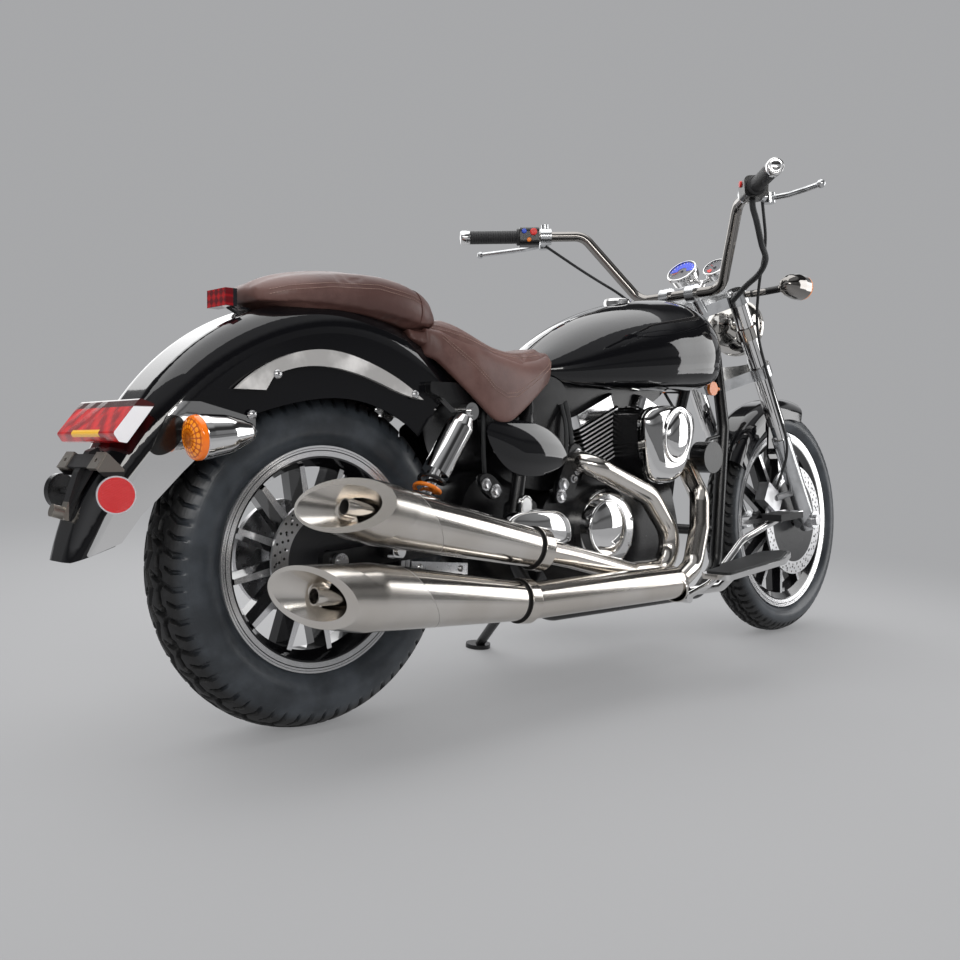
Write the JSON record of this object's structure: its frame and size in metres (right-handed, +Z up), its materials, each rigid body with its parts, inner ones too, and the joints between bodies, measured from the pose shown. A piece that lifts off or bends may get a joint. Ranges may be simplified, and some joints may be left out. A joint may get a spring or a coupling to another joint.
{
  "type": "cruiser motorcycle",
  "caption": "Low cruiser motorcycle leaning on its side stand, with a finned V engine, deep fenders, brown saddle and pillion pad, wide pulled-back handlebar and slash-cut mufflers.",
  "frame": {"origin": "bottom centre of the whole machine as it stands leaned on its side stand, on the floor plane", "axes": "+X forward along the machine, +Y to the rider's left, +Z up; the machine leans five degrees towards +Y onto the stand"},
  "size_m": [2.3448, 0.981, 1.129],
  "materials": {
    "black_paint": "gloss",
    "frame_paint": "gloss",
    "chrome": "polished",
    "steel": "brushed",
    "aluminium": "satin",
    "engine": "matte",
    "rim": "gloss",
    "tyre": "matte",
    "rubber": "matte",
    "leather": "satin",
    "plastic": "matte",
    "gloss_black": "gloss",
    "red_lens": "gloss",
    "amber_lens": "gloss",
    "lens": "clear"
  },
  "bodies": {
    "chassis": {"frame_backbone": "frame_paint", "frame_cradle": "frame_paint", "crankcase": "engine", "cylinders": "engine", "rocker_covers": "chrome", "engine_covers": "chrome", "air_cleaner_body": "plastic", "air_cleaner_cover": "chrome", "exhaust_headers": "chrome", "mufflers": "chrome", "fuel_tank": "black_paint", "tank_cap": "chrome", "pillion_pad": "leather", "rider_seat": "leather", "rear_fender": "black_paint", "fender_trims": "chrome", "fender_stays": "chrome", "tail_light": "red_lens", "high_lamp": "red_lens", "plate_bracket": "plastic", "reflectors": "amber_lens", "rear_signals": "chrome", "rear_signal_lenses": "amber_lens", "side_covers": "black_paint", "swingarm": "frame_paint", "axles": "steel", "shock_absorbers": "gloss_black", "shock_springs": "steel", "drive_chain": "steel", "rear_caliper": "aluminium", "floorboards": "aluminium", "floorboard_pads": "rubber", "foot_controls": "aluminium", "passenger_footboards": "aluminium", "horn": "gloss_black"},
    "rear_wheel": {"rear_tyre": "tyre", "rear_rim": "rim", "rear_disc": "steel", "rear_sprocket": "steel"},
    "steering": {"fork_clamps": "aluminium", "fork_tubes": "chrome", "fork_sliders": "aluminium", "handlebar": "chrome", "grips": "rubber", "switchgear": "gloss_black", "hand_levers": "aluminium", "gauges": "chrome", "headlight": "chrome", "headlight_lens": "lens", "front_signals": "chrome", "front_signal_lenses": "amber_lens", "front_fender": "black_paint", "front_caliper": "aluminium", "front_axle": "steel", "control_cables": "rubber"},
    "front_wheel": {"front_tyre": "tyre", "front_rim": "rim", "front_disc": "steel"},
    "side_stand": {"side_stand": "frame_paint"}
  },
  "joints": [
    {"name": "rear_wheel_spin", "type": "hinge", "parent": "chassis", "child": "rear_wheel", "pos_m": [-0.70358, -0.05559, 0.3066], "axis": [0, 0.9962, -0.0872], "continuous": true},
    {"name": "steering_turn", "type": "hinge", "parent": "chassis", "child": "steering", "pos_m": [0.55796, -0.02138, 0.69713], "axis": [-0.5192, 0.0745, 0.8514], "range_deg": [-36, 28]},
    {"name": "front_wheel_spin", "type": "hinge", "parent": "steering", "child": "front_wheel", "pos_m": [0.86332, -0.05168, 0.30761], "axis": [-0.0552, 0.9912, -0.1204], "continuous": true},
    {"name": "stand_fold", "type": "hinge", "parent": "chassis", "child": "side_stand", "pos_m": [-0.10364, 0.05889, 0.14629], "axis": [0, 0.9962, -0.0872], "range_deg": [0, 88]}
  ]
}
